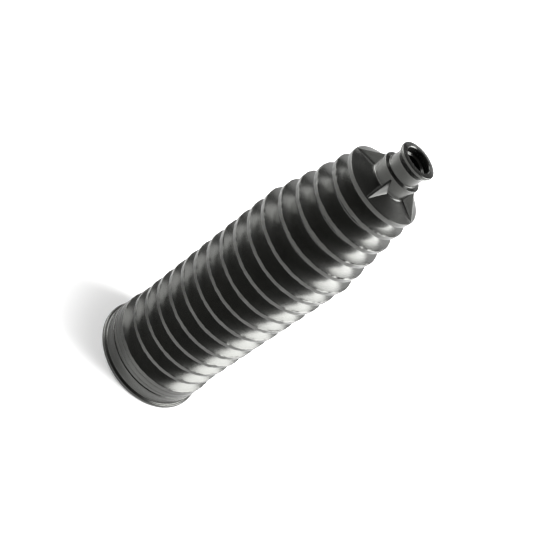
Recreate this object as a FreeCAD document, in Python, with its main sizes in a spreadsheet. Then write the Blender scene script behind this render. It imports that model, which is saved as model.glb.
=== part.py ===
import FreeCAD, Part
import os
import Sketcher

# Rubber bellows boot, moulded in one piece.
# It stands on its large mouth: the axis is Z and the mouth lies in the plane Z = 0.

NODE = "bellows_boot"

# Driving dimensions in millimetres, with what each one measures
SIZES = [
    ("clamp_seat_radius", 30.0, "seat of the large clamp, which the rest of the cuff follows"),
    ("clamp_seat_width", 4.6, "seat of the large clamp, along the axis"),
    ("bead_rise", 1.8, "bead round the large mouth, above the seat"),
    ("bead_height", 2.0, "bead, along the axis"),
    ("bead_edge", 0.5, "bevel on the foot of the bead"),
    ("ridge_rise", 0.5, "ridge on the other side of the seat, above it"),
    ("ridge_width", 2.2, "that ridge, along the axis"),
    ("ring_groove_sink", 0.2, "groove above the ridge, below the level of the seat"),
    ("ring_groove_width", 0.7, "that groove, along the axis"),
    ("band_rise", 0.3, "plain band that ends the cuff, above the seat"),
    ("band_width", 7.5, "plain band, along the axis"),
    ("cuff_wall", 2.2, "clamp seat to the bore that grips the housing"),
    ("cuff_step", 1.6, "end of that bore, below the top of the cuff"),
    ("cuff_lead", 0.8, "bevel at the foot of that bore"),
    ("pitch", 10.0, "crest to crest"),
    ("crest_land", 2.0, "flat top of a crest, along the axis"),
    ("crest_radius", 29.3, "outside of the straight folds"),
    ("fold_depth", 8.5, "crest to the bottom of the groove"),
    ("crest_wall", 1.4, "wall at a crest, measured towards the axis"),
    ("root_wall", 2.2, "wall at the bottom of a groove, measured towards the axis"),
    ("straight_folds", 11, "folds of one size above the cuff"),
    ("taper_folds", 4, "folds that get smaller above them"),
    ("taper_step", 1.75, "loss of radius from one tapered fold to the next"),
    ("shoulder_step", 1.4, "loss of radius from the last tapered crest to the shoulder crest"),
    ("shoulder_land", 2.4, "flat top of the shoulder crest, along the axis"),
    ("shoulder_pitch", 8.4, "last tapered crest to the shoulder crest"),
    ("shoulder_rise", 3.5, "height of the shoulder cone"),
    ("shoulder_wall", 1.6, "wall of the shoulder where it meets the neck"),
    ("rod_bore_radius", 5.7, "bore that grips the rod, which the small end follows"),
    ("rod_bore_length", 8.2, "length of that bore"),
    ("rod_bore_lead", 1.6, "cone from that bore to the neck's hollow"),
    ("rod_seat_wall", 2.65, "that bore to the seat of the small clamp"),
    ("rod_seat_width", 5.6, "seat of the small clamp, along the axis"),
    ("neck_rise", 2.35, "top rim of the neck, above the small clamp's seat"),
    ("neck_taper", 0.5, "top rim of the neck, above the foot of the neck"),
    ("neck_wall", 1.8, "wall of the neck at its foot"),
    ("neck_rim_edge", 0.4, "bevel on the top rim of the neck"),
    ("neck_height", 7.5, "shoulder cone to the top rim"),
    ("lip_rise", 1.45, "lip round the small mouth, above the seat"),
    ("lip_flare", 2.6, "height over which the seat widens to the lip"),
    ("lip_height", 0.9, "straight edge of the lip"),
    ("lip_edge", 0.5, "bevel on the top of the lip"),
    ("mouth_depth", 3.6, "small mouth, top to ledge"),
    ("ledge_width", 0.9, "ledge between the mouth and the bore"),
    ("mouth_flare", 0.3, "widening of the mouth from the ledge to its top"),
    ("gusset_count", 4, "ribs between the shoulder and the neck"),
    ("gusset_width", 1.1, "top of a rib, across"),
    ("gusset_draft", 10.0, "slope of a rib's sides, in degrees"),
    ("gusset_inset", 0.25, "shoulder edge to the outer end of a rib"),
    ("gusset_drop", 1.7, "top rim to where a rib meets the neck"),
    ("gusset_root", 0.8, "depth to which a rib runs into the wall"),
]


def make_sheet(doc):
    sheet = doc.addObject("Spreadsheet::Sheet", "Sizes")
    for row, (alias, value, meaning) in enumerate(SIZES, start=1):
        sheet.set(f"A{row}", meaning)
        sheet.set(f"B{row}", str(value))
        sheet.setAlias(f"B{row}", alias)
    doc.recompute()
    return sheet


def named(expression):
    """An expression on the sheet, written with the bare names of its cells."""
    words = []
    for word in expression.split():
        known = any(word == alias for alias, value, meaning in SIZES)
        words.append(f"Sizes.{word}" if known else word)
    return " ".join(words)


def origin_feature(body, role):
    for feature in body.Origin.OriginFeatures:
        if feature.Role == role:
            return feature
    raise ValueError(role)


def add_sketch(body, name, role):
    sketch = body.newObject("Sketcher::SketchObject", name)
    sketch.AttachmentSupport = [(origin_feature(body, role), "")]
    sketch.MapMode = "FlatFace"
    return sketch


def pin(sketch, line, axis, name, expression):
    """Ties the start of a line to the sketch's origin along one axis."""
    kind = "DistanceX" if axis == "x" else "DistanceY"
    start = sketch.Geometry[line].StartPoint
    here = start.x if axis == "x" else start.y
    ends = (-1, 1, line, 1)
    if expression.startswith("minus "):
        ends = (line, 1, -1, 1)
        expression = expression.replace("minus ", "", 1)
    if expression == "0":
        zero_axis = -2 if axis == "x" else -1
        sketch.addConstraint(Sketcher.Constraint("PointOnObject", line, 1, zero_axis))
        return
    number = sketch.addConstraint(Sketcher.Constraint(kind, *ends, abs(here)))
    sketch.renameConstraint(number, name)
    sketch.setExpression(f"Constraints.{name}", named(expression))


def outline(sheet, sketch, corners):
    """A closed outline of straight lines; each corner is a pair of expressions."""
    points = [FreeCAD.Vector(value_of(sheet, across), value_of(sheet, up), 0) for across, up in corners]
    lines = []
    for number, point in enumerate(points):
        lines.append(Part.LineSegment(point, points[(number + 1) % len(points)]))
    sketch.addGeometry(lines, False)
    for number in range(len(points)):
        following = (number + 1) % len(points)
        sketch.addConstraint(Sketcher.Constraint("Coincident", number, 2, following, 1))
    for number, (across, up) in enumerate(corners):
        pin(sketch, number, "x", f"across_{number}", across)
        pin(sketch, number, "y", f"up_{number}", up)


def value_of(sheet, expression):
    """The number that an expression stands for, to draw the outline at its size."""
    sign = 1
    if expression.startswith("minus "):
        sign = -1
        expression = expression.replace("minus ", "", 1)
    return sign * float(sheet.evalExpression(named(expression)))


def revolve(sheet, body, name, corners):
    sketch = add_sketch(body, name + "_outline", "XZ_Plane")
    outline(sheet, sketch, corners)
    feature = body.newObject("PartDesign::Revolution", name)
    feature.Profile = sketch
    feature.ReferenceAxis = (sketch, ["V_Axis"])
    feature.Angle = 360
    return feature


# Heights along the axis that several features share, from the mouth up
CUFF_HEIGHT = "bead_height + clamp_seat_width + ridge_width + ring_groove_width + band_width"
FIRST_ROOT = f"{CUFF_HEIGHT} + ( pitch - crest_land ) / 2"
STRAIGHT_TOP = f"{FIRST_ROOT} + straight_folds * pitch"
TAPER_TOP = f"{STRAIGHT_TOP} + taper_folds * pitch"
SHOULDER_MIDDLE = f"{TAPER_TOP} - pitch / 2 + shoulder_pitch"
SHOULDER_EDGE = f"{SHOULDER_MIDDLE} + shoulder_land / 2"
NECK_FOOT = f"{SHOULDER_EDGE} + shoulder_rise"
NECK_TOP = f"{NECK_FOOT} + neck_height"
ROD_SEAT_TOP = f"{NECK_TOP} + rod_seat_width"
LIP_FOOT = f"{ROD_SEAT_TOP} + lip_flare"
LIP_TOP = f"{LIP_FOOT} + lip_height + lip_edge"
LEDGE = f"{LIP_TOP} - mouth_depth"
ROD_BORE_FOOT = f"{LEDGE} - rod_bore_length"

# Radii that several features share
CUFF_BORE_RADIUS = "clamp_seat_radius - cuff_wall"
ROOT_RADIUS = "crest_radius - fold_depth"
LAST_ROOT = f"{ROOT_RADIUS} - taper_folds * taper_step"
SHOULDER_RADIUS = "crest_radius - taper_folds * taper_step - shoulder_step"
ROD_SEAT_RADIUS = "rod_bore_radius + rod_seat_wall"
NECK_RIM_RADIUS = f"{ROD_SEAT_RADIUS} + neck_rise"
NECK_RADIUS = f"{NECK_RIM_RADIUS} - neck_taper"
NECK_BORE_RADIUS = f"{NECK_RADIUS} - neck_wall"
LIP_RADIUS = f"{ROD_SEAT_RADIUS} + lip_rise"
LEDGE_RADIUS = "rod_bore_radius + ledge_width"


def make_cuff(sheet, body):
    seat_top = "bead_height + clamp_seat_width"
    ridge_top = f"{seat_top} + ridge_width"
    groove_top = f"{ridge_top} + ring_groove_width"
    corners = [
        (f"{CUFF_BORE_RADIUS} + cuff_lead", "0"),
        ("clamp_seat_radius + bead_rise - bead_edge", "0"),
        ("clamp_seat_radius + bead_rise", "bead_edge"),
        ("clamp_seat_radius + bead_rise", "bead_height"),
        ("clamp_seat_radius", "bead_height"),
        ("clamp_seat_radius", seat_top),
        ("clamp_seat_radius + ridge_rise", seat_top),
        ("clamp_seat_radius + ridge_rise", ridge_top),
        ("clamp_seat_radius - ring_groove_sink", ridge_top),
        ("clamp_seat_radius - ring_groove_sink", groove_top),
        ("clamp_seat_radius + band_rise", groove_top),
        ("clamp_seat_radius + band_rise", CUFF_HEIGHT),
        (ROOT_RADIUS, FIRST_ROOT),
        (f"{ROOT_RADIUS} - root_wall", FIRST_ROOT),
        (CUFF_BORE_RADIUS, f"{CUFF_HEIGHT} - cuff_step"),
        (CUFF_BORE_RADIUS, "cuff_lead"),
    ]
    return revolve(sheet, body, "cuff", corners)


def fold_corners(foot, crest, root_below, root_above):
    """The wall of one fold, from the bottom of one groove to the bottom of the next."""
    middle = f"{foot} + pitch / 2"
    return [
        (root_below, foot),
        (crest, f"{middle} - crest_land / 2"),
        (crest, f"{middle} + crest_land / 2"),
        (root_above, f"{foot} + pitch"),
        (f"{root_above} - root_wall", f"{foot} + pitch"),
        (f"{crest} - crest_wall", middle),
        (f"{root_below} - root_wall", foot),
    ]


def make_straight_folds(sheet, body):
    corners = fold_corners(FIRST_ROOT, "crest_radius", ROOT_RADIUS, ROOT_RADIUS)
    fold = revolve(sheet, body, "fold", corners)
    pattern = body.newObject("PartDesign::LinearPattern", "straight_folds")
    pattern.Originals = [fold]
    pattern.Direction = (fold.Profile[0], ["V_Axis"])
    pattern.setExpression("Length", named("( straight_folds - 1 ) * pitch"))
    pattern.setExpression("Occurrences", named("straight_folds"))
    body.Tip = pattern
    return pattern


def make_taper_folds(sheet, body):
    for number in range(1, int(sheet.taper_folds) + 1):
        foot = f"{STRAIGHT_TOP} + {number - 1} * pitch"
        crest = f"crest_radius - {number} * taper_step"
        root_below = f"{ROOT_RADIUS} - {number - 1} * taper_step"
        root_above = f"{ROOT_RADIUS} - {number} * taper_step"
        corners = fold_corners(foot, crest, root_below, root_above)
        revolve(sheet, body, f"taper_fold_{number}", corners)


def make_small_end(sheet, body):
    corners = [
        (LAST_ROOT, TAPER_TOP),
        (SHOULDER_RADIUS, f"{SHOULDER_MIDDLE} - shoulder_land / 2"),
        (SHOULDER_RADIUS, SHOULDER_EDGE),
        (NECK_RADIUS, NECK_FOOT),
        (NECK_RIM_RADIUS, f"{NECK_TOP} - neck_rim_edge"),
        (f"{NECK_RIM_RADIUS} - neck_rim_edge", NECK_TOP),
        (ROD_SEAT_RADIUS, NECK_TOP),
        (ROD_SEAT_RADIUS, ROD_SEAT_TOP),
        (LIP_RADIUS, LIP_FOOT),
        (LIP_RADIUS, f"{LIP_TOP} - lip_edge"),
        (f"{LIP_RADIUS} - lip_edge", LIP_TOP),
        (f"{LEDGE_RADIUS} + mouth_flare", LIP_TOP),
        (LEDGE_RADIUS, LEDGE),
        ("rod_bore_radius", LEDGE),
        ("rod_bore_radius", ROD_BORE_FOOT),
        (NECK_BORE_RADIUS, f"{ROD_BORE_FOOT} - rod_bore_lead"),
        (NECK_BORE_RADIUS, f"{NECK_FOOT} - shoulder_wall"),
        (f"{SHOULDER_RADIUS} - crest_wall", SHOULDER_MIDDLE),
        (f"{LAST_ROOT} - root_wall", TAPER_TOP),
    ]
    return revolve(sheet, body, "small_end", corners)


def gusset_section(sheet, body, name, distance, top, bottom):
    """A section across a rib, square to its length, at a distance from the axis."""
    sketch = add_sketch(body, name, "YZ_Plane")
    sketch.setExpression("AttachmentOffset.Base.z", named(distance))
    half = "gusset_width / 2"
    base = f"{half} + ( {top} - ( {bottom} ) ) * tan( gusset_draft * 1 deg )"
    corners = [
        (f"minus {half}", top),
        (half, top),
        (base, bottom),
        (f"minus {base}", bottom),
    ]
    outline(sheet, sketch, corners)
    return sketch


def make_gussets(sheet, body):
    outer = f"( {SHOULDER_RADIUS} - gusset_inset )"
    inner = f"( {NECK_RADIUS} - neck_wall / 2 )"
    rise = f"( {NECK_TOP} - gusset_drop - ( {SHOULDER_EDGE} ) )"
    run = f"( {outer} - ( {NECK_RIM_RADIUS} ) )"
    inner_top = f"{SHOULDER_EDGE} + ( {outer} - {inner} ) * {rise} / {run}"
    inner_bottom = f"{NECK_FOOT} - gusset_root"
    first = gusset_section(
        sheet, body, "gusset_inner", inner, inner_top, inner_bottom)
    last = gusset_section(
        sheet, body, "gusset_outer", outer, SHOULDER_EDGE, f"{SHOULDER_EDGE} - gusset_root")
    rib = body.newObject("PartDesign::AdditiveLoft", "gusset")
    rib.Profile = first
    rib.Sections = [last]
    rib.Ruled = True
    pattern = body.newObject("PartDesign::PolarPattern", "gussets")
    pattern.Originals = [rib]
    pattern.Axis = (origin_feature(body, "Z_Axis"), [""])
    pattern.Angle = 360
    pattern.setExpression("Occurrences", named("gusset_count"))
    body.Tip = pattern
    return pattern


def check(doc, body):
    for item in doc.Objects:
        bad = [state for state in item.State if state in ("Invalid", "Error")]
        if bad:
            raise RuntimeError(f"{item.Label}: {bad}")
    shape = body.Shape
    if shape.isNull() or not shape.isValid() or len(shape.Solids) != 1:
        raise RuntimeError(f"{body.Label} is not one valid solid")
    return shape


def main():
    doc = FreeCAD.newDocument("BellowsBoot")
    sheet = make_sheet(doc)
    body = doc.addObject("PartDesign::Body", NODE)
    body.Label = NODE
    body.Placement = FreeCAD.Placement()
    make_cuff(sheet, body)
    make_straight_folds(sheet, body)
    make_taper_folds(sheet, body)
    make_small_end(sheet, body)
    make_gussets(sheet, body)
    doc.recompute()
    shape = check(doc, body)
    os.makedirs("parts", exist_ok=True)
    shape.exportStep(f"parts/{NODE}.step")
    box = shape.BoundBox
    print(f"{NODE}: {shape.Volume:.0f} mm3, box {box.XLength:.1f} x {box.YLength:.1f} x {box.ZLength:.1f}")


main()
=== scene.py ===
import math

import bmesh
import bpy
from mathutils import Matrix, Vector, noise

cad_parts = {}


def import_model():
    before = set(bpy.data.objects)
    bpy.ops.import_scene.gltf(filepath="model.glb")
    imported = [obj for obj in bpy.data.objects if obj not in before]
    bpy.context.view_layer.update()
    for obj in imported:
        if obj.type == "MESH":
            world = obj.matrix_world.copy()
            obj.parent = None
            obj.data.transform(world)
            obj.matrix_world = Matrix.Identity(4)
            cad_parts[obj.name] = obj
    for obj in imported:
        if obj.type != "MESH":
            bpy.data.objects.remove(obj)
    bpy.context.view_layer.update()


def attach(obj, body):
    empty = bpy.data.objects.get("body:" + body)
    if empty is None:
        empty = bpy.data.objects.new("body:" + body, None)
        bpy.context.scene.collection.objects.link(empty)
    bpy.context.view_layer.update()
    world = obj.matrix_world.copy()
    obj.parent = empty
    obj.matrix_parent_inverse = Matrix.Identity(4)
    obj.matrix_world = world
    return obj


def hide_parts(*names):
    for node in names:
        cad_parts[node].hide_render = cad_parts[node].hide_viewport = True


# Rubber bellows boot, standing on its large mouth. Lengths are in millimetres until a mesh is made.
MM = 0.001
BODY = "root"
NODE = "bellows_boot"

# Camera, fitted to the photograph: in front of the boot, above it, and rolled by an angle in radians
CAMERA_PLACE = (0.0, -401.6, 380.4)
CAMERA_TARGET = (0.82, 0.0, 97.75)
CAMERA_ROLL = 0.945
PHOTO_SIDE = 540
FOCAL_PIXELS = 1000.0
SENSOR = 36.0
CLIP_START = 0.01
CLIP_END = 20.0

# Cuff: radii and heights of the boot, as its solid has them, with two fine grooves round its band
BEAD_R = 31.8
BEAD_TOP = 2.0
SEAT_R = 30.0
SEAT_TOP = 6.6
SEAT_LEAD = 0.05
RIDGE_R = 30.5
RIDGE_TOP = 8.8
RING_R = 29.8
RING_TOP = 9.5
RING_LEAD = 0.1
BAND_R = 30.3
CUFF_TOP = 17.0
BAND_GROOVES = (11.3, 14.4)
GROOVE_WIDTH = 0.8
GROOVE_DEPTH = 0.2
CUFF_BORE_R = 27.8
CUFF_BORE_TOP = 15.4
CUFF_CHAMFER = 0.8

# Folds: straight ones, then those that step in
PITCH = 10.0
LAND = 2.0
CREST_R = 29.3
DEPTH = 8.5
CREST_WALL = 1.4
ROOT_WALL = 2.2
STRAIGHT_FOLDS = 11
TAPER_FOLDS = 4
TAPER_STEP = 1.75

# Shoulder, neck and mouth
SHOULDER_R = 20.9
SHOULDER_LAND = 2.4
SHOULDER_PITCH = 8.4
SHOULDER_RISE = 3.5
SHOULDER_WALL = 1.6
NECK_R = 10.2
NECK_RIM_R = 10.7
NECK_HEIGHT = 7.5
NECK_BORE_R = 8.4
ROD_SEAT_R = 8.35
ROD_SEAT_WIDTH = 5.6
LIP_R = 9.8
LIP_FLARE = 2.6
LIP_HEIGHT = 0.9
LIP_EDGE = 0.5
MOUTH_R = 6.9
MOUTH_FLOOR_R = 6.6
MOUTH_DEPTH = 3.6
ROD_BORE_R = 5.7
ROD_BORE_LENGTH = 8.2
ROD_BORE_LEAD = 1.6

FIRST_ROOT = CUFF_TOP + (PITCH - LAND) / 2
TAPER_FOOT = FIRST_ROOT + STRAIGHT_FOLDS * PITCH
TAPER_TOP = TAPER_FOOT + TAPER_FOLDS * PITCH
SHOULDER_MIDDLE = TAPER_TOP - PITCH / 2 + SHOULDER_PITCH
SHOULDER_EDGE = SHOULDER_MIDDLE + SHOULDER_LAND / 2
NECK_FOOT = SHOULDER_EDGE + SHOULDER_RISE
NECK_TOP = NECK_FOOT + NECK_HEIGHT
ROD_SEAT_TOP = NECK_TOP + ROD_SEAT_WIDTH
LIP_FOOT = ROD_SEAT_TOP + LIP_FLARE
LIP_TOP = LIP_FOOT + LIP_HEIGHT + LIP_EDGE
LEDGE = LIP_TOP - MOUTH_DEPTH
ROD_BORE_FOOT = LEDGE - ROD_BORE_LENGTH

# Fillets: a corner is known as a land's edge by LAND_FILLET, and a fillet takes at most a share of a side
LAND_FILLET = 0.24
ROOT_FILLET = 0.9
INSIDE_FILLET = 0.6
LARGEST_SHARE = 0.48

# Soft rubber is never quite round: the whole strays slowly, and the trimmed edges of the lands are ragged.
# Two smooth rings on the flank beside each edge, at these distances past its fillet, keep the flank even.
RAGGED = 0.20
SLOW_STRAY = 0.12
EDGE_REACH = (0.45, 0.85)

# Noise of the stray and the edges: how fine it is round the boot, and up it for each millimetre
SLOW_NOISE = (1.3, 0.013)
TILT_NOISE = (1.7, 0.021)
EDGE_NOISE = (9.0, 0.9)
FINE_EDGE_NOISE = (21.0, 1.3)
FINE_EDGE_SHARE = 0.6
NICK_NOISE = (14.0, 0.7)
TILT_START = (7.3, 1.9, 4.2)
NICK_START = (3.1, 8.2, 0.4)

# Fineness of the turned mesh
SEGMENTS = 224
OUTER_STEPS = 3
INNER_STEPS = 1
SHARP_ANGLE = math.radians(38.0)

# Ribs: the slope of each side, the rounded top as steps inward and down, and the levels down the sides
GUSSETS = 4
GUSSET_HALF = 0.42
GUSSET_DRAFTS = (math.radians(6.0), math.radians(25.0))
GUSSET_FLARE = 0.35
GUSSET_FLARE_HEIGHT = 1.2
GUSSET_INSET = 0.25
GUSSET_DROP = 1.7
GUSSET_SINK = 0.5
GUSSET_LEAST_DEPTH = 0.4
GUSSET_INNER_R = 9.2
GUSSET_STEPS = 24
GUSSET_ROUND = ((0.16, 0.0), (0.03, 0.06), (0.0, 0.18))
GUSSET_LEVELS = (0.35, 0.6, 0.78, 0.88, 0.94, 0.98, 1.0)

# Rubber: fine marks round the boot left by the mould, a mottled black, a little dust and a soft gloss
STREAKS_PER_METRE = 700.0
STREAKS_PER_RADIAN = 1.6
MOTTLE_SCALE = 60.0
GRAIN_SCALE = 1500.0
DUST_SCALE = 420.0
DUST_RANGE = (0.62, 0.78)
DUST_COLOUR = (0.028, 0.028, 0.026, 1)
RUBBER_TINTS = ((0.3, (0.0090, 0.0091, 0.0086, 1)), (0.75, (0.0130, 0.0131, 0.0125, 1)))
RUBBER_ROUGHNESS = (0.20, 0.25)
RUBBER_IOR = 1.8
RUBBER_SHINE = (0.99, 1.0, 0.95, 1)
GRAIN_BUMP = (0.10, 0.0001)
STREAK_BUMP = (0.25, 0.00005)

# White paper sweep under and behind the boot
SWEEP_RADIUS = 2600.0
SWEEP_HEIGHT = 1150.0
SWEEP_BEND = 500.0
SWEEP_STEPS = 10
SWEEP_SIDES = 96
PAPER_WHITE = (0.8, 0.8, 0.8, 1)

# The paper's glow beside the boot and far away, and the metres over which it rises: for the camera it
# rises round the foot and leaves the shadow, for reflections it rises farther out
GLOW_NEAR = 0.25
GLOW_FAR = 0.95
GLOW_SEEN = (0.03, 0.085)
GLOW_MIRRORED = (0.4, 0.9)

# Softboxes: name, direction from the boot, distance and width and height in millimetres, roll, brightness
SOFTBOXES = [
    ("right_back", (0.717, 0.412, 0.562), 708, 350, 328, -54.6, 26.0),
    ("right_low", (0.86, 0.44, 0.18), 700, 420, 160, 0.0, 6.0),
    ("left_low", (-0.975, 0.14, 0.085), 700, 420, 200, 0.0, 24.0),
    ("left_back", (-0.653, 0.335, 0.679), 659, 210, 200, 20.3, 8.0),
]
AIM = Vector((0, 0, 100))
PANELS = (0.7, 0.9, 1.1, 1.3)
STUDIO_GREY = 0.10
STUDIO_TINT = (1.0, 1.0, 0.97, 1)


def fold_radii(number):
    """Radius of a fold's crest and of the groove above it; fold 1 is the lowest straight one."""
    shrink = max(0, number - STRAIGHT_FOLDS) * TAPER_STEP
    return CREST_R - shrink, CREST_R - DEPTH - shrink


def outer_corners():
    """Corners of the outside from the foot up, each as radius, height and fillet."""
    corners = [
        (CUFF_BORE_R + CUFF_CHAMFER, 0.0, 0.2),
        (BEAD_R, 0.0, 0.55),
        (BEAD_R, BEAD_TOP, 0.9),
        (SEAT_R, BEAD_TOP + SEAT_LEAD, 0.9),
        (SEAT_R, SEAT_TOP, 0.15),
        (RIDGE_R, SEAT_TOP, 0.2),
        (RIDGE_R, RIDGE_TOP, 0.35),
        (RING_R, RIDGE_TOP + RING_LEAD, 0.3),
        (RING_R, RING_TOP - RING_LEAD, 0.3),
        (BAND_R, RING_TOP, 0.4),
    ]
    for height in BAND_GROOVES:
        corners.append((BAND_R, height - GROOVE_WIDTH / 2, 0.12))
        corners.append((BAND_R - GROOVE_DEPTH, height, 0.2))
        corners.append((BAND_R, height + GROOVE_WIDTH / 2, 0.12))
    corners.append((BAND_R, CUFF_TOP, LAND_FILLET))
    corners.append((CREST_R - DEPTH, FIRST_ROOT, ROOT_FILLET))
    for number in range(1, STRAIGHT_FOLDS + TAPER_FOLDS + 1):
        crest, root = fold_radii(number)
        foot = FIRST_ROOT + (number - 1) * PITCH
        middle = foot + PITCH / 2
        corners.append((crest, middle - LAND / 2, LAND_FILLET))
        corners.append((crest, middle + LAND / 2, LAND_FILLET))
        corners.append((root, foot + PITCH, ROOT_FILLET))
    corners += [
        (SHOULDER_R, SHOULDER_MIDDLE - SHOULDER_LAND / 2, 0.3),
        (SHOULDER_R, SHOULDER_EDGE, 0.35),
        (NECK_R, NECK_FOOT, 1.0),
        (NECK_RIM_R, NECK_TOP, 0.4),
        (ROD_SEAT_R, NECK_TOP, 0.45),
        (ROD_SEAT_R, ROD_SEAT_TOP, 1.2),
        (LIP_R, LIP_FOOT, 0.5),
        (LIP_R, LIP_TOP, 0.5),
    ]
    return corners


def inner_corners():
    """Corners of the inside from the small mouth down, each as radius, height and fillet."""
    corners = [
        (MOUTH_R, LIP_TOP, 0.4),
        (MOUTH_FLOOR_R, LEDGE, 0.25),
        (ROD_BORE_R, LEDGE, 0.3),
        (ROD_BORE_R, ROD_BORE_FOOT, 0.6),
        (NECK_BORE_R, ROD_BORE_FOOT - ROD_BORE_LEAD, 0.6),
        (NECK_BORE_R, NECK_FOOT - SHOULDER_WALL, 0.8),
        (SHOULDER_R - CREST_WALL, SHOULDER_MIDDLE, 0.5),
    ]
    for number in range(STRAIGHT_FOLDS + TAPER_FOLDS, 0, -1):
        crest, root = fold_radii(number)
        foot = FIRST_ROOT + (number - 1) * PITCH
        corners.append((root - ROOT_WALL, foot + PITCH, INSIDE_FILLET))
        corners.append((crest - CREST_WALL, foot + PITCH / 2, INSIDE_FILLET))
    corners += [
        (CREST_R - DEPTH - ROOT_WALL, FIRST_ROOT, INSIDE_FILLET),
        (CUFF_BORE_R, CUFF_BORE_TOP, 0.6),
        (CUFF_BORE_R, CUFF_CHAMFER, 0.2),
    ]
    return corners


def rounded(corners, outer_count):
    """The closed outline with each corner rounded by an arc, each point with its raggedness."""
    points = []
    count = len(corners)
    for number, (radius, height, fillet) in enumerate(corners):
        steps = OUTER_STEPS if number < outer_count else INNER_STEPS
        edge = number < outer_count and fillet == LAND_FILLET
        here = Vector((radius, height))
        before = Vector(corners[number - 1][:2]) - here
        after = Vector(corners[(number + 1) % count][:2]) - here
        turn = before.angle(after)
        reach = min(fillet / math.tan(turn / 2), LARGEST_SHARE * before.length, LARGEST_SHARE * after.length)
        real = reach * math.tan(turn / 2)
        middle = (before.normalized() + after.normalized()).normalized()
        centre = here + middle * (real / math.sin(turn / 2))
        first = here + before.normalized() * reach - centre
        last = here + after.normalized() * reach - centre
        sweep = first.angle_signed(last)
        if edge and abs(before.x) > reach:
            points += [(here + before.normalized() * (reach + far), 0.0) for far in reversed(EDGE_REACH)]
        for step in range(steps + 1):
            spoke = first.copy()
            spoke.rotate(Matrix.Rotation(-sweep * step / steps, 2))
            points.append((centre + spoke, RAGGED if edge else 0.0))
        if edge and abs(after.x) > reach:
            points += [(here + after.normalized() * (reach + far), 0.0) for far in EDGE_REACH]
    return points


def wander(around, level, fineness, start=(0.0, 0.0, 0.0)):
    """Smooth noise at a point of the boot, given as its direction from the axis and its height."""
    across, upward = fineness
    return noise.noise(around * across + level * upward + Vector(start))


def stray(angle, point, ragged):
    """A point's radius and height once the soft rubber has strayed from a true circle."""
    around = Vector((math.cos(angle), math.sin(angle), 0.0))
    level = Vector((0.0, 0.0, point.y))
    slow = wander(around, level, SLOW_NOISE)
    tilt = wander(around, level, TILT_NOISE, TILT_START)
    edge = wander(around, level, EDGE_NOISE) + FINE_EDGE_SHARE * wander(around, level, FINE_EDGE_NOISE)
    nick = wander(around, level, NICK_NOISE, NICK_START)
    reach = min(1.0, max(0.0, (point.y - CUFF_TOP) / PITCH))
    radius = point.x + SLOW_STRAY * slow * reach + ragged * edge
    height = point.y + SLOW_STRAY * tilt * reach + ragged * nick
    return radius, height


def turned_body():
    """The boot itself: its closed outline carried round the axis."""
    outer = outer_corners()
    outline = rounded(outer + inner_corners(), len(outer))
    mesh = bpy.data.meshes.new("boot")
    verts = []
    for segment in range(SEGMENTS):
        angle = 2 * math.pi * segment / SEGMENTS
        for point, ragged in outline:
            radius, height = stray(angle, point, ragged)
            verts.append((radius * math.cos(angle) * MM, radius * math.sin(angle) * MM, height * MM))
    faces = []
    ring = len(outline)
    for segment in range(SEGMENTS):
        here = segment * ring
        there = (segment + 1) % SEGMENTS * ring
        for number in range(ring):
            above = (number + 1) % ring
            faces.append((here + number, there + number, there + above, here + above))
    mesh.from_pydata(verts, [], faces)
    mesh.polygons.foreach_set("use_smooth", [True] * len(faces))
    mesh.update()
    boot = bpy.data.objects.new("boot", mesh)
    bpy.context.collection.objects.link(boot)
    return boot


def gusset_top(radius):
    """Height of a rib's top edge, which falls from the neck to the edge of the shoulder."""
    outer = SHOULDER_R - GUSSET_INSET
    rise = NECK_TOP - GUSSET_DROP - SHOULDER_EDGE
    return SHOULDER_EDGE + (outer - radius) * rise / (outer - NECK_RIM_R)


def gusset_side(draft, top, depth):
    """One side of a rib from its rounded top down, as distances across and up, flared at the foot."""
    side = [(GUSSET_HALF - inward, top - down) for inward, down in GUSSET_ROUND]
    for share in GUSSET_LEVELS:
        down = depth * share
        flare = GUSSET_FLARE * max(0.0, 1 - (depth - down) / GUSSET_FLARE_HEIGHT) ** 2
        side.append((GUSSET_HALF + down * math.tan(draft) + flare, top - down))
    return side


def gusset(number):
    """One rib: a bar with a steep side, a sloping side and a rounded top, flared where it meets the cone."""
    angle = math.pi * 2 * number / GUSSETS
    length = SHOULDER_R - GUSSET_INSET - GUSSET_INNER_R
    rings = []
    for step in range(GUSSET_STEPS + 1):
        radius = GUSSET_INNER_R + length * step / GUSSET_STEPS
        top = gusset_top(radius)
        floor = SHOULDER_EDGE + (SHOULDER_R - radius) * SHOULDER_RISE / (SHOULDER_R - NECK_R)
        floor = min(floor, NECK_FOOT) - GUSSET_SINK
        depth = max(top - floor, GUSSET_LEAST_DEPTH)
        steep, sloping = [gusset_side(draft, top, depth) for draft in GUSSET_DRAFTS]
        ring = [(-across, up) for across, up in reversed(steep)] + sloping
        rings.append([(radius, across, up) for across, up in ring])
    mesh = bpy.data.meshes.new("gusset")
    bm = bmesh.new()
    turn = Matrix.Rotation(angle, 4, "Z")
    made = [[bm.verts.new(turn @ (Vector(point) * MM)) for point in ring] for ring in rings]
    for low, high in zip(made, made[1:]):
        for place in range(len(low) - 1):
            bm.faces.new((low[place], high[place], high[place + 1], low[place + 1]))
        bm.faces.new((low[-1], high[-1], high[0], low[0]))
    bm.faces.new(made[0])
    bm.faces.new(list(reversed(made[-1])))
    bmesh.ops.recalc_face_normals(bm, faces=bm.faces)
    bm.to_mesh(mesh)
    bm.free()
    mesh.polygons.foreach_set("use_smooth", [True] * len(mesh.polygons))
    rib = bpy.data.objects.new(f"gusset_{number + 1}", mesh)
    bpy.context.collection.objects.link(rib)
    return rib


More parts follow.
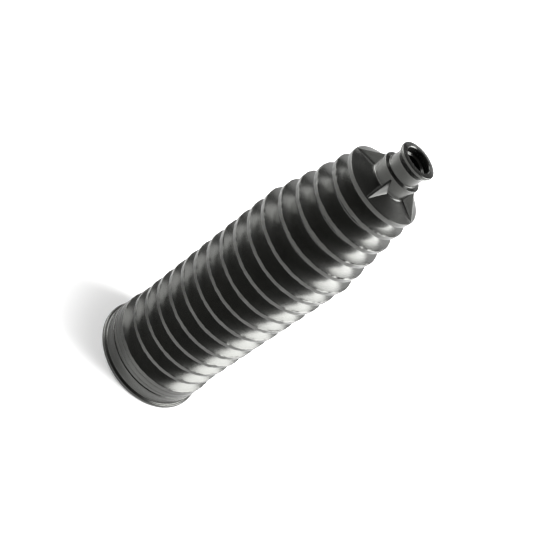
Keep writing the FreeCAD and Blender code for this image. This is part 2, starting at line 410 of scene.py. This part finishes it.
def mark_sharp(obj):
    """Edges that turn by more than SHARP_ANGLE are shaded sharp."""
    bm = bmesh.new()
    bm.from_mesh(obj.data)
    for edge in bm.edges:
        edge.smooth = not edge.is_manifold or edge.calc_face_angle(0.0) < SHARP_ANGLE
    bm.to_mesh(obj.data)
    bm.free()


class Nodes:
    """A short way to write a material's nodes."""

    def __init__(self, name):
        self.material = bpy.data.materials.new(name)
        self.material.use_nodes = True
        self.tree = self.material.node_tree
        self.tree.nodes.clear()

    def add(self, kind, values=None, **settings):
        """A node with its settings, and each input either linked from a socket or set to a value."""
        node = self.tree.nodes.new(kind)
        for key, value in settings.items():
            setattr(node, key, value)
        for socket, value in (values or {}).items():
            if isinstance(value, bpy.types.NodeSocket):
                self.tree.links.new(value, node.inputs[socket])
            else:
                node.inputs[socket].default_value = value
        return node


def streak_noise(nodes, place):
    """Noise drawn out round the axis: it changes quickly with height and radius, slowly with the angle."""
    split = nodes.add("ShaderNodeSeparateXYZ", {"Vector": place})
    flat = nodes.add("ShaderNodeCombineXYZ", {"X": split.outputs["X"], "Y": split.outputs["Y"]})
    radius = nodes.add("ShaderNodeVectorMath", {0: flat.outputs["Vector"]}, operation="LENGTH")
    outward = nodes.add("ShaderNodeMath", {0: radius.outputs["Value"], 1: STREAKS_PER_METRE},
                        operation="MULTIPLY")
    around = nodes.add("ShaderNodeVectorMath", {0: flat.outputs["Vector"]}, operation="NORMALIZE")
    turn = nodes.add("ShaderNodeVectorMath", {0: around.outputs["Vector"], "Scale": STREAKS_PER_RADIAN},
                     operation="SCALE")
    climb = nodes.add("ShaderNodeCombineXYZ", {"Z": split.outputs["Z"]})
    wrap = nodes.add("ShaderNodeVectorMath", {
        0: climb.outputs["Vector"],
        1: (0, 0, STREAKS_PER_METRE),
        2: turn.outputs["Vector"],
    }, operation="MULTIPLY_ADD")
    streak = nodes.add("ShaderNodeTexNoise", {
        "Vector": wrap.outputs["Vector"],
        "W": outward.outputs[0],
        "Scale": 1.0,
        "Detail": 4.0,
        "Roughness": 0.6,
    }, noise_dimensions="4D")
    return streak.outputs["Fac"]


def rubber():
    """Black rubber, mottled and a little dusty, with fine streaks round the axis in its gloss and bump."""
    nodes = Nodes("black_rubber")
    place = nodes.add("ShaderNodeTexCoord").outputs["Object"]
    streak = streak_noise(nodes, place)
    mottle = nodes.add("ShaderNodeTexNoise", {"Vector": place, "Scale": MOTTLE_SCALE, "Detail": 4.0})
    grain = nodes.add("ShaderNodeTexNoise", {"Vector": place, "Scale": GRAIN_SCALE, "Detail": 3.0})
    dust = nodes.add("ShaderNodeTexNoise", {
        "Vector": place,
        "Scale": DUST_SCALE,
        "Detail": 6.0,
        "Roughness": 0.75,
    })
    specks = nodes.add("ShaderNodeMapRange", {
        "Value": dust.outputs["Fac"],
        "From Min": DUST_RANGE[0],
        "From Max": DUST_RANGE[1],
    })
    tint = nodes.add("ShaderNodeValToRGB", {"Fac": mottle.outputs["Fac"]})
    for element, (position, colour) in zip(tint.color_ramp.elements, RUBBER_TINTS):
        element.position = position
        element.color = colour
    dusty = nodes.add("ShaderNodeMix", {
        "Factor": specks.outputs["Result"],
        "A": tint.outputs["Color"],
        "B": DUST_COLOUR,
    }, data_type="RGBA")
    rough = nodes.add("ShaderNodeMapRange", {
        "Value": streak,
        "From Min": 0.3,
        "From Max": 0.7,
        "To Min": RUBBER_ROUGHNESS[0],
        "To Max": RUBBER_ROUGHNESS[1],
    })
    fine = nodes.add("ShaderNodeBump", {
        "Height": grain.outputs["Fac"],
        "Strength": GRAIN_BUMP[0],
        "Distance": GRAIN_BUMP[1],
    })
    bump = nodes.add("ShaderNodeBump", {
        "Height": streak,
        "Normal": fine.outputs["Normal"],
        "Strength": STREAK_BUMP[0],
        "Distance": STREAK_BUMP[1],
    })
    shader = nodes.add("ShaderNodeBsdfPrincipled", {
        "Base Color": dusty.outputs["Result"],
        "Roughness": rough.outputs["Result"],
        "Normal": bump.outputs["Normal"],
        "IOR": RUBBER_IOR,
        "Specular Tint": RUBBER_SHINE,
    })
    nodes.add("ShaderNodeOutputMaterial", {"Surface": shader.outputs["BSDF"]})
    return nodes.material


def paper():
    """White paper that keeps the boot's shadow; it glows where the camera, a reflection or glass sees it."""
    nodes = Nodes("white_paper")
    ray = nodes.add("ShaderNodeLightPath")
    mirrored = nodes.add("ShaderNodeMath", {
        0: ray.outputs["Is Glossy Ray"],
        1: ray.outputs["Is Transmission Ray"],
    }, operation="ADD", use_clamp=True)
    place = nodes.add("ShaderNodeTexCoord").outputs["Object"]
    away = nodes.add("ShaderNodeVectorMath", {0: place}, operation="LENGTH")
    rays = ((ray.outputs["Is Camera Ray"], GLOW_SEEN), (mirrored.outputs[0], GLOW_MIRRORED))
    parts = []
    for seen, (near, far) in rays:
        level = nodes.add("ShaderNodeMapRange", {
            "Value": away.outputs["Value"],
            "From Min": near,
            "From Max": far,
            "To Min": GLOW_NEAR,
            "To Max": GLOW_FAR,
        }, interpolation_type="SMOOTHSTEP")
        part = nodes.add("ShaderNodeMath", {0: seen, 1: level.outputs["Result"]}, operation="MULTIPLY")
        parts.append(part.outputs[0])
    glow = nodes.add("ShaderNodeMath", {0: parts[0], 1: parts[1]}, operation="ADD")
    white = nodes.add("ShaderNodeBsdfDiffuse", {"Color": PAPER_WHITE})
    light = nodes.add("ShaderNodeEmission", {"Strength": glow.outputs[0]})
    lit = nodes.add("ShaderNodeAddShader", {0: white.outputs[0], 1: light.outputs[0]})
    nodes.add("ShaderNodeOutputMaterial", {"Surface": lit.outputs[0]})
    return nodes.material


def make_stage():
    """A round sheet of paper under the boot, turned up at its far edge all round."""
    outline = [(SWEEP_RADIUS - SWEEP_BEND, 0.0)]
    for step in range(1, SWEEP_STEPS + 1):
        angle = math.pi / 2 * step / SWEEP_STEPS
        across = SWEEP_RADIUS - SWEEP_BEND + SWEEP_BEND * math.sin(angle)
        outline.append((across, SWEEP_BEND * (1 - math.cos(angle))))
    outline.append((SWEEP_RADIUS, SWEEP_HEIGHT))
    bm = bmesh.new()
    centre = bm.verts.new((0, 0, 0))
    rings = []
    for radius, height in outline:
        ring = []
        for number in range(SWEEP_SIDES):
            angle = 2 * math.pi * number / SWEEP_SIDES
            place = (radius * math.cos(angle) * MM, radius * math.sin(angle) * MM, height * MM)
            ring.append(bm.verts.new(place))
        rings.append(ring)
    for number in range(SWEEP_SIDES):
        ahead = (number + 1) % SWEEP_SIDES
        bm.faces.new((centre, rings[0][number], rings[0][ahead]))
        for low, high in zip(rings, rings[1:]):
            bm.faces.new((low[number], high[number], high[ahead], low[ahead]))
    mesh = bpy.data.meshes.new("sweep")
    bm.to_mesh(mesh)
    bm.free()
    mesh.polygons.foreach_set("use_smooth", [True] * len(mesh.polygons))
    mesh.materials.append(paper())
    sweep = bpy.data.objects.new("sweep", mesh)
    bpy.context.collection.objects.link(sweep)


def make_softboxes():
    """Each softbox fades towards its short sides, so it is a few panels of growing width on one place."""
    for name, direction, distance, width, height, roll, brightness in SOFTBOXES:
        place = AIM + Vector(direction).normalized() * distance
        facing = (AIM - place).to_track_quat("-Z", "Y").to_matrix()
        facing = (facing @ Matrix.Rotation(math.radians(roll), 3, "Z")).to_euler()
        for number, share in enumerate(PANELS):
            light = bpy.data.lights.new(f"{name}_{number}", "AREA")
            light.shape = "RECTANGLE"
            light.size = width * share * MM
            light.size_y = height * MM
            light.energy = brightness / len(PANELS) * 4 * light.size * light.size_y
            lamp = bpy.data.objects.new(light.name, light)
            lamp.location = place * MM
            lamp.rotation_euler = facing
            lamp.visible_camera = False
            bpy.context.collection.objects.link(lamp)


def make_world():
    """A plain dim studio."""
    world = bpy.data.worlds.new("studio")
    bpy.context.scene.world = world
    world.use_nodes = True
    background = world.node_tree.nodes["Background"]
    background.inputs["Color"].default_value = STUDIO_TINT
    background.inputs["Strength"].default_value = STUDIO_GREY


def make_camera():
    """The photograph's camera, from its place, its target and its roll."""
    place = Vector(CAMERA_PLACE)
    forward = (Vector(CAMERA_TARGET) - place).normalized()
    right = forward.cross(Vector((0, 0, 1))).normalized()
    up = right.cross(forward)
    across = right * math.cos(CAMERA_ROLL) + up * math.sin(CAMERA_ROLL)
    upward = up * math.cos(CAMERA_ROLL) - right * math.sin(CAMERA_ROLL)
    data = bpy.data.cameras.new("camera")
    data.sensor_width = SENSOR
    data.lens = SENSOR * FOCAL_PIXELS / PHOTO_SIDE
    data.clip_start = CLIP_START
    data.clip_end = CLIP_END
    camera = bpy.data.objects.new("camera", data)
    turn = Matrix((across, upward, -forward)).transposed()
    camera.matrix_world = Matrix.Translation(place * MM) @ turn.to_4x4()
    bpy.context.collection.objects.link(camera)
    bpy.context.scene.camera = camera


def main():
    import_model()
    material = rubber()
    boot = turned_body()
    pieces = [boot] + [gusset(number) for number in range(GUSSETS)]
    for piece in pieces:
        mark_sharp(piece)
        piece.data.materials.append(material)
        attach(piece, BODY)
        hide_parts(NODE)
    make_stage()
    make_softboxes()
    make_world()
    make_camera()
    bpy.context.scene.view_settings.view_transform = "Standard"


main()
